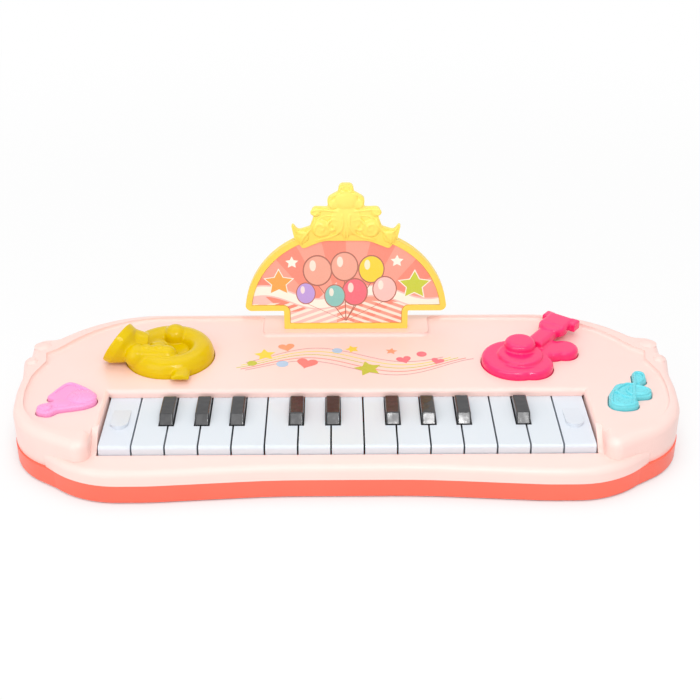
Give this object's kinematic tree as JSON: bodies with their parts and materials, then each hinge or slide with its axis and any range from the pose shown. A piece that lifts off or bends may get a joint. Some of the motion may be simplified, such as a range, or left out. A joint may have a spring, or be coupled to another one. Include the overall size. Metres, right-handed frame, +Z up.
{
  "type": "toy piano",
  "caption": "Toy electronic piano with a low two-tone case, hinged white and black keys, instrument-shaped push buttons and a plug-in arched sign with a crest.",
  "frame": {"origin": "middle of the footprint at the underside of the rubber feet", "axes": "+X to the player's right, +Y to the back where the sign stands, +Z up"},
  "size_m": [0.4238, 0.174, 0.1423],
  "materials": {
    "deck_plastic": "satin pale pink",
    "base_plastic": "satin coral",
    "foot_rubber": "matt",
    "screw_steel": "plated",
    "sign_plastic": "satin yellow",
    "sign_print": "printed",
    "end_key_plastic": "gloss white",
    "white_key_plastic": "gloss white",
    "black_key_plastic": "gloss black",
    "felt": "wool felt",
    "board": "resin board",
    "dome_rubber": "silicone",
    "chip_resin": "matt",
    "horn_plastic": "gloss yellow",
    "guitar_plastic": "gloss pink",
    "note_plastic": "gloss pale pink",
    "clef_plastic": "gloss light blue",
    "speaker_steel": "painted",
    "magnet": "bare",
    "cone_paper": "pressed",
    "cell_jacket": "sleeved",
    "contact_steel": "nickel plated",
    "door_plastic": "satin coral",
    "switch_plastic": "matt",
    "lead_jacket": "soft"
  },
  "bodies": {
    "case": {"top_shell": "deck_plastic", "base_shell": "base_plastic", "rubber_feet": "foot_rubber", "case_screws": "screw_steel", "board_screws": "screw_steel", "key_rod": "screw_steel", "key_stop_felt": "felt", "key_rest_felt": "felt", "key_board": "board", "key_domes": "dome_rubber", "main_board": "board", "button_boards": "board", "button_domes": "dome_rubber", "chip_blob": "chip_resin", "speaker_frame": "speaker_steel", "speaker_magnet": "magnet", "speaker_cone": "cone_paper", "speaker_screws": "screw_steel", "battery_cells": "cell_jacket", "battery_contacts": "contact_steel", "power_switch": "switch_plastic", "battery_leads": "lead_jacket", "speaker_leads": "lead_jacket", "board_ribbon": "lead_jacket"},
    "sign": {"sign_frame": "sign_plastic", "sign_card": "sign_print"},
    "power_knob": {"power_knob": "switch_plastic"},
    "battery_door": {"battery_door": "door_plastic", "battery_door_screw": "screw_steel"},
    "horn_button": {"horn_button": "horn_plastic"},
    "guitar_button": {"guitar_button": "guitar_plastic"},
    "note_button": {"note_button": "note_plastic"},
    "clef_button": {"clef_button": "clef_plastic"},
    "left_end_key": {"left_end_key": "end_key_plastic"},
    "white_key_01": {"white_key_01": "white_key_plastic"},
    "white_key_02": {"white_key_02": "white_key_plastic"},
    "white_key_03": {"white_key_03": "white_key_plastic"},
    "white_key_04": {"white_key_04": "white_key_plastic"},
    "white_key_05": {"white_key_05": "white_key_plastic"},
    "white_key_06": {"white_key_06": "white_key_plastic"},
    "white_key_07": {"white_key_07": "white_key_plastic"},
    "white_key_08": {"white_key_08": "white_key_plastic"},
    "white_key_09": {"white_key_09": "white_key_plastic"},
    "white_key_10": {"white_key_10": "white_key_plastic"},
    "white_key_11": {"white_key_11": "white_key_plastic"},
    "white_key_12": {"white_key_12": "white_key_plastic"},
    "white_key_13": {"white_key_13": "white_key_plastic"},
    "right_end_key": {"right_end_key": "end_key_plastic"},
    "black_key_01": {"black_key_01": "black_key_plastic"},
    "black_key_02": {"black_key_02": "black_key_plastic"},
    "black_key_03": {"black_key_03": "black_key_plastic"},
    "black_key_04": {"black_key_04": "black_key_plastic"},
    "black_key_05": {"black_key_05": "black_key_plastic"},
    "black_key_06": {"black_key_06": "black_key_plastic"},
    "black_key_07": {"black_key_07": "black_key_plastic"},
    "black_key_08": {"black_key_08": "black_key_plastic"},
    "black_key_09": {"black_key_09": "black_key_plastic"}
  },
  "joints": [
    {"name": "horn_button_press", "type": "slide", "parent": "case", "child": "horn_button", "axis": [0, 0, -1], "range_m": [0, 0.0025], "stiffness_N_per_m": 500, "springref_m": -0.002, "deforming": ["button_domes"]},
    {"name": "guitar_button_press", "type": "slide", "parent": "case", "child": "guitar_button", "axis": [0, 0, -1], "range_m": [0, 0.0025], "stiffness_N_per_m": 500, "springref_m": -0.002, "deforming": ["button_domes"]},
    {"name": "note_button_press", "type": "slide", "parent": "case", "child": "note_button", "axis": [0, 0, -1], "range_m": [0, 0.0025], "stiffness_N_per_m": 500, "springref_m": -0.002, "deforming": ["button_domes"]},
    {"name": "clef_button_press", "type": "slide", "parent": "case", "child": "clef_button", "axis": [0, 0, -1], "range_m": [0, 0.0025], "stiffness_N_per_m": 500, "springref_m": -0.002, "deforming": ["button_domes"]},
    {"name": "sign_lift", "type": "slide", "parent": "case", "child": "sign", "axis": [0, 0, 1], "range_m": [0, 0.04]},
    {"name": "power_knob_slide", "type": "slide", "parent": "case", "child": "power_knob", "axis": [1, 0, 0], "range_m": [0, 0.004]},
    {"name": "battery_door_drop", "type": "slide", "parent": "case", "child": "battery_door", "axis": [0, 0, -1], "range_m": [0, 0.03]},
    {"name": "left_end_key_press", "type": "hinge", "parent": "case", "child": "left_end_key", "pos_m": [-0.14, 0.0098, 0.0217], "axis": [1, 0, 0], "range_deg": [0, 3], "stiffness_Nm_per_rad": 0.5, "springref_deg": -1.72, "deforming": ["key_domes"]},
    {"name": "white_key_01_press", "type": "hinge", "parent": "case", "child": "white_key_01", "pos_m": [-0.12, 0.0098, 0.0217], "axis": [1, 0, 0], "range_deg": [0, 3], "stiffness_Nm_per_rad": 0.5, "springref_deg": -1.72, "deforming": ["key_domes"]},
    {"name": "white_key_02_press", "type": "hinge", "parent": "case", "child": "white_key_02", "pos_m": [-0.1, 0.0098, 0.0217], "axis": [1, 0, 0], "range_deg": [0, 3], "stiffness_Nm_per_rad": 0.5, "springref_deg": -1.72, "deforming": ["key_domes"]},
    {"name": "white_key_03_press", "type": "hinge", "parent": "case", "child": "white_key_03", "pos_m": [-0.08, 0.0098, 0.0217], "axis": [1, 0, 0], "range_deg": [0, 3], "stiffness_Nm_per_rad": 0.5, "springref_deg": -1.72, "deforming": ["key_domes"]},
    {"name": "white_key_04_press", "type": "hinge", "parent": "case", "child": "white_key_04", "pos_m": [-0.06, 0.0098, 0.0217], "axis": [1, 0, 0], "range_deg": [0, 3], "stiffness_Nm_per_rad": 0.5, "springref_deg": -1.72, "deforming": ["key_domes"]},
    {"name": "white_key_05_press", "type": "hinge", "parent": "case", "child": "white_key_05", "pos_m": [-0.04, 0.0098, 0.0217], "axis": [1, 0, 0], "range_deg": [0, 3], "stiffness_Nm_per_rad": 0.5, "springref_deg": -1.72, "deforming": ["key_domes"]},
    {"name": "white_key_06_press", "type": "hinge", "parent": "case", "child": "white_key_06", "pos_m": [-0.02, 0.0098, 0.0217], "axis": [1, 0, 0], "range_deg": [0, 3], "stiffness_Nm_per_rad": 0.5, "springref_deg": -1.72, "deforming": ["key_domes"]},
    {"name": "white_key_07_press", "type": "hinge", "parent": "case", "child": "white_key_07", "pos_m": [0, 0.0098, 0.0217], "axis": [1, 0, 0], "range_deg": [0, 3], "stiffness_Nm_per_rad": 0.5, "springref_deg": -1.72, "deforming": ["key_domes"]},
    {"name": "white_key_08_press", "type": "hinge", "parent": "case", "child": "white_key_08", "pos_m": [0.02, 0.0098, 0.0217], "axis": [1, 0, 0], "range_deg": [0, 3], "stiffness_Nm_per_rad": 0.5, "springref_deg": -1.72, "deforming": ["key_domes"]},
    {"name": "white_key_09_press", "type": "hinge", "parent": "case", "child": "white_key_09", "pos_m": [0.04, 0.0098, 0.0217], "axis": [1, 0, 0], "range_deg": [0, 3], "stiffness_Nm_per_rad": 0.5, "springref_deg": -1.72, "deforming": ["key_domes"]},
    {"name": "white_key_10_press", "type": "hinge", "parent": "case", "child": "white_key_10", "pos_m": [0.06, 0.0098, 0.0217], "axis": [1, 0, 0], "range_deg": [0, 3], "stiffness_Nm_per_rad": 0.5, "springref_deg": -1.72, "deforming": ["key_domes"]},
    {"name": "white_key_11_press", "type": "hinge", "parent": "case", "child": "white_key_11", "pos_m": [0.08, 0.0098, 0.0217], "axis": [1, 0, 0], "range_deg": [0, 3], "stiffness_Nm_per_rad": 0.5, "springref_deg": -1.72, "deforming": ["key_domes"]},
    {"name": "white_key_12_press", "type": "hinge", "parent": "case", "child": "white_key_12", "pos_m": [0.1, 0.0098, 0.0217], "axis": [1, 0, 0], "range_deg": [0, 3], "stiffness_Nm_per_rad": 0.5, "springref_deg": -1.72, "deforming": ["key_domes"]},
    {"name": "white_key_13_press", "type": "hinge", "parent": "case", "child": "white_key_13", "pos_m": [0.12, 0.0098, 0.0217], "axis": [1, 0, 0], "range_deg": [0, 3], "stiffness_Nm_per_rad": 0.5, "springref_deg": -1.72, "deforming": ["key_domes"]},
    {"name": "right_end_key_press", "type": "hinge", "parent": "case", "child": "right_end_key", "pos_m": [0.14, 0.0098, 0.0217], "axis": [1, 0, 0], "range_deg": [0, 3], "stiffness_Nm_per_rad": 0.5, "springref_deg": -1.72, "deforming": ["key_domes"]},
    {"name": "black_key_01_press", "type": "hinge", "parent": "case", "child": "black_key_01", "pos_m": [-0.11, 0.0098, 0.0217], "axis": [1, 0, 0], "range_deg": [0, 3], "stiffness_Nm_per_rad": 0.5, "springref_deg": -1.72, "deforming": ["key_domes"]},
    {"name": "black_key_02_press", "type": "hinge", "parent": "case", "child": "black_key_02", "pos_m": [-0.09, 0.0098, 0.0217], "axis": [1, 0, 0], "range_deg": [0, 3], "stiffness_Nm_per_rad": 0.5, "springref_deg": -1.72, "deforming": ["key_domes"]},
    {"name": "black_key_03_press", "type": "hinge", "parent": "case", "child": "black_key_03", "pos_m": [-0.07, 0.0098, 0.0217], "axis": [1, 0, 0], "range_deg": [0, 3], "stiffness_Nm_per_rad": 0.5, "springref_deg": -1.72, "deforming": ["key_domes"]},
    {"name": "black_key_04_press", "type": "hinge", "parent": "case", "child": "black_key_04", "pos_m": [-0.03, 0.0098, 0.0217], "axis": [1, 0, 0], "range_deg": [0, 3], "stiffness_Nm_per_rad": 0.5, "springref_deg": -1.72, "deforming": ["key_domes"]},
    {"name": "black_key_05_press", "type": "hinge", "parent": "case", "child": "black_key_05", "pos_m": [-0.01, 0.0098, 0.0217], "axis": [1, 0, 0], "range_deg": [0, 3], "stiffness_Nm_per_rad": 0.5, "springref_deg": -1.72, "deforming": ["key_domes"]},
    {"name": "black_key_06_press", "type": "hinge", "parent": "case", "child": "black_key_06", "pos_m": [0.03, 0.0098, 0.0217], "axis": [1, 0, 0], "range_deg": [0, 3], "stiffness_Nm_per_rad": 0.5, "springref_deg": -1.72, "deforming": ["key_domes"]},
    {"name": "black_key_07_press", "type": "hinge", "parent": "case", "child": "black_key_07", "pos_m": [0.05, 0.0098, 0.0217], "axis": [1, 0, 0], "range_deg": [0, 3], "stiffness_Nm_per_rad": 0.5, "springref_deg": -1.72, "deforming": ["key_domes"]},
    {"name": "black_key_08_press", "type": "hinge", "parent": "case", "child": "black_key_08", "pos_m": [0.07, 0.0098, 0.0217], "axis": [1, 0, 0], "range_deg": [0, 3], "stiffness_Nm_per_rad": 0.5, "springref_deg": -1.72, "deforming": ["key_domes"]},
    {"name": "black_key_09_press", "type": "hinge", "parent": "case", "child": "black_key_09", "pos_m": [0.11, 0.0098, 0.0217], "axis": [1, 0, 0], "range_deg": [0, 3], "stiffness_Nm_per_rad": 0.5, "springref_deg": -1.72, "deforming": ["key_domes"]}
  ]
}
